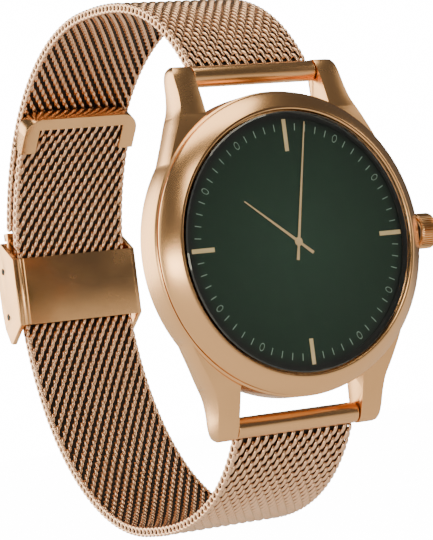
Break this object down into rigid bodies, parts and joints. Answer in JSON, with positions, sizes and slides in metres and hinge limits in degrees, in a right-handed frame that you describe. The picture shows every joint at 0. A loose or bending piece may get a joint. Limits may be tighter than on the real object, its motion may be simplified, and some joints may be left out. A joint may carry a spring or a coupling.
{
  "type": "smartwatch",
  "caption": "Round rose-gold smartwatch with a knurled crown, a dark green display dial and a woven metal mesh strap closed into a loop by a sliding clasp with a folding cover.",
  "frame": {"origin": "middle of the sensor window's outer face, where the case back rests on the wrist", "axes": "+Z towards 12 o'clock, -Y the way the dial faces, +X towards 3 o'clock and the crown"},
  "size_m": [0.0468, 0.0753, 0.0796],
  "materials": {
    "rose_gold": "satin",
    "mesh_gold": "satin",
    "steel": "satin",
    "glass": "polished",
    "dial": "gloss",
    "black_plastic": "matte",
    "black_rubber": "matte",
    "board_green": "satin",
    "foil": "satin",
    "contact_gold": "polished",
    "sensor_green": "gloss"
  },
  "bodies": {
    "case": {"case_body": "rose_gold", "bezel": "rose_gold", "cover_glass": "glass", "glass_gasket": "black_rubber", "display": "dial", "display_holder": "black_plastic", "main_board": "board_green", "shield_can": "steel", "battery": "foil", "vibration_motor_can": "steel", "sensor_board": "board_green", "heart_sensor": "sensor_green", "sensor_window": "glass", "case_back": "steel", "back_gasket": "black_rubber", "back_screw_1": "steel", "back_screw_2": "steel", "back_screw_3": "steel", "back_screw_4": "steel", "charging_contact_1": "contact_gold", "charging_contact_2": "contact_gold", "charging_magnet_1": "steel", "charging_magnet_2": "steel", "crown_tube": "steel", "crown_spring": "steel", "side_switch": "steel", "upper_spring_bar": "steel", "lower_spring_bar": "steel"},
    "crown_pusher": {"crown_pusher": "black_plastic"},
    "crown": {"crown_head": "rose_gold", "crown_stem": "steel", "crown_clip": "steel", "crown_seal": "black_rubber"},
    "motor_weight": {"vibration_motor_weight": "steel"},
    "upper_1": {"upper_end_tube": "rose_gold", "upper_mesh_1": "mesh_gold"},
    "upper_2": {"upper_mesh_2": "mesh_gold"},
    "upper_3": {"upper_mesh_3": "mesh_gold"},
    "upper_4": {"upper_mesh_4": "mesh_gold"},
    "upper_5": {"upper_mesh_5": "mesh_gold"},
    "upper_6": {"upper_mesh_6": "mesh_gold", "upper_end_frame": "rose_gold"},
    "lower_1": {"lower_end_tube": "rose_gold", "lower_mesh_1": "mesh_gold"},
    "lower_2": {"lower_mesh_2": "mesh_gold"},
    "lower_3": {"lower_mesh_3": "mesh_gold"},
    "lower_4": {"lower_mesh_4": "mesh_gold"},
    "lower_5": {"lower_mesh_5": "mesh_gold"},
    "lower_6": {"lower_mesh_6": "mesh_gold"},
    "clasp": {"clasp_mesh": "mesh_gold", "clasp_base": "rose_gold", "clasp_cover_pin": "steel", "clasp_lock_pin": "steel"},
    "tail_1": {"tail_mesh_1": "mesh_gold"},
    "tail_2": {"tail_mesh_2": "mesh_gold", "tail_end_cap": "rose_gold"},
    "clasp_cover": {"clasp_cover": "rose_gold"},
    "clasp_lock": {"clasp_lock_plate": "rose_gold"}
  },
  "joints": [
    {"name": "upper_strap_swing", "type": "hinge", "parent": "case", "child": "upper_1", "pos_m": [0, -0.0025, 0.0247], "axis": [1, 0, 0], "range_deg": [0, 45]},
    {"name": "upper_bend_1", "type": "hinge", "parent": "upper_1", "child": "upper_2", "pos_m": [0, 0.00823, 0.03529], "axis": [1, 0, 0], "range_deg": [0, 27]},
    {"name": "upper_bend_2", "type": "hinge", "parent": "upper_2", "child": "upper_3", "pos_m": [0, 0.02132, 0.03879], "axis": [1, 0, 0], "range_deg": [0, 27]},
    {"name": "upper_bend_3", "type": "hinge", "parent": "upper_3", "child": "upper_4", "pos_m": [0, 0.03491, 0.03824], "axis": [1, 0, 0], "range_deg": [0, 27]},
    {"name": "upper_bend_4", "type": "hinge", "parent": "upper_4", "child": "upper_5", "pos_m": [0, 0.04726, 0.03265], "axis": [1, 0, 0], "range_deg": [0, 27]},
    {"name": "upper_bend_5", "type": "hinge", "parent": "upper_5", "child": "upper_6", "pos_m": [0, 0.05658, 0.02277], "axis": [1, 0, 0], "range_deg": [0, 27]},
    {"name": "lower_strap_swing", "type": "hinge", "parent": "case", "child": "lower_1", "pos_m": [0, -0.0025, -0.0247], "axis": [1, 0, 0], "range_deg": [-18, 0]},
    {"name": "lower_bend_1", "type": "hinge", "parent": "lower_1", "child": "lower_2", "pos_m": [0, 0.00843, -0.0354], "axis": [1, 0, 0], "range_deg": [-15, 0]},
    {"name": "lower_bend_2", "type": "hinge", "parent": "lower_2", "child": "lower_3", "pos_m": [0, 0.02178, -0.03882], "axis": [1, 0, 0], "range_deg": [-15, 0]},
    {"name": "lower_bend_3", "type": "hinge", "parent": "lower_3", "child": "lower_4", "pos_m": [0, 0.03555, -0.03795], "axis": [1, 0, 0], "range_deg": [-15, 0]},
    {"name": "lower_bend_4", "type": "hinge", "parent": "lower_4", "child": "lower_5", "pos_m": [0, 0.04759, -0.03128], "axis": [1, 0, 0], "range_deg": [-15, 0]},
    {"name": "lower_bend_5", "type": "hinge", "parent": "lower_5", "child": "lower_6", "pos_m": [0, 0.05599, -0.02034], "axis": [1, 0, 0], "range_deg": [-15, 0]},
    {"name": "clasp_bend", "type": "hinge", "parent": "lower_6", "child": "clasp", "pos_m": [0, 0.06024, -0.00719], "axis": [1, 0, 0], "range_deg": [-15, 0]},
    {"name": "tail_bend_1", "type": "hinge", "parent": "clasp", "child": "tail_1", "pos_m": [0, 0.06016, 0.0072], "axis": [1, 0, 0], "range_deg": [-5, 0]},
    {"name": "tail_bend_2", "type": "hinge", "parent": "tail_1", "child": "tail_2", "pos_m": [0, 0.05676, 0.0176], "axis": [1, 0, 0], "range_deg": [-5, 0]},
    {"name": "clasp_cover_hinge", "type": "hinge", "parent": "clasp", "child": "clasp_cover", "pos_m": [0, 0.0628, -0.0037], "axis": [1, 0, 0], "range_deg": [-95, 0]},
    {"name": "clasp_lock_hinge", "type": "hinge", "parent": "clasp", "child": "clasp_lock", "pos_m": [0, 0.0628, 0.0037], "axis": [1, 0, 0], "range_deg": [0, 59]},
    {"name": "crown_press", "type": "slide", "parent": "case", "child": "crown_pusher", "axis": [-1, 0, 0], "range_m": [0, 0.0006], "stiffness_N_per_m": 1500, "springref_m": -0.0004, "deforming": ["crown_spring"]},
    {"name": "crown_turn", "type": "hinge", "parent": "crown_pusher", "child": "crown", "pos_m": [0.0224, -0.00515, 0], "axis": [1, 0, 0], "continuous": true},
    {"name": "motor_spin", "type": "hinge", "parent": "case", "child": "motor_weight", "pos_m": [0.009, 0, -0.0079], "axis": [0, 1, 0], "continuous": true}
  ],
  "couplings": [
    {"joint": "upper_bend_1", "follows": "upper_strap_swing", "ratio": 0.6},
    {"joint": "upper_bend_2", "follows": "upper_strap_swing", "ratio": 0.6},
    {"joint": "upper_bend_3", "follows": "upper_strap_swing", "ratio": 0.6},
    {"joint": "upper_bend_4", "follows": "upper_strap_swing", "ratio": 0.6},
    {"joint": "upper_bend_5", "follows": "upper_strap_swing", "ratio": 0.6},
    {"joint": "lower_strap_swing", "follows": "upper_strap_swing", "ratio": -0.4},
    {"joint": "lower_bend_1", "follows": "upper_strap_swing", "ratio": -0.33},
    {"joint": "lower_bend_2", "follows": "upper_strap_swing", "ratio": -0.33},
    {"joint": "lower_bend_3", "follows": "upper_strap_swing", "ratio": -0.33},
    {"joint": "lower_bend_4", "follows": "upper_strap_swing", "ratio": -0.33},
    {"joint": "lower_bend_5", "follows": "upper_strap_swing", "ratio": -0.33},
    {"joint": "clasp_bend", "follows": "upper_strap_swing", "ratio": -0.33},
    {"joint": "tail_bend_1", "follows": "upper_strap_swing", "ratio": -0.1},
    {"joint": "tail_bend_2", "follows": "upper_strap_swing", "ratio": -0.1},
    {"joint": "clasp_cover_hinge", "follows": "upper_strap_swing", "ratio": -2.1},
    {"joint": "clasp_lock_hinge", "follows": "upper_strap_swing", "ratio": 1.3}
  ]
}
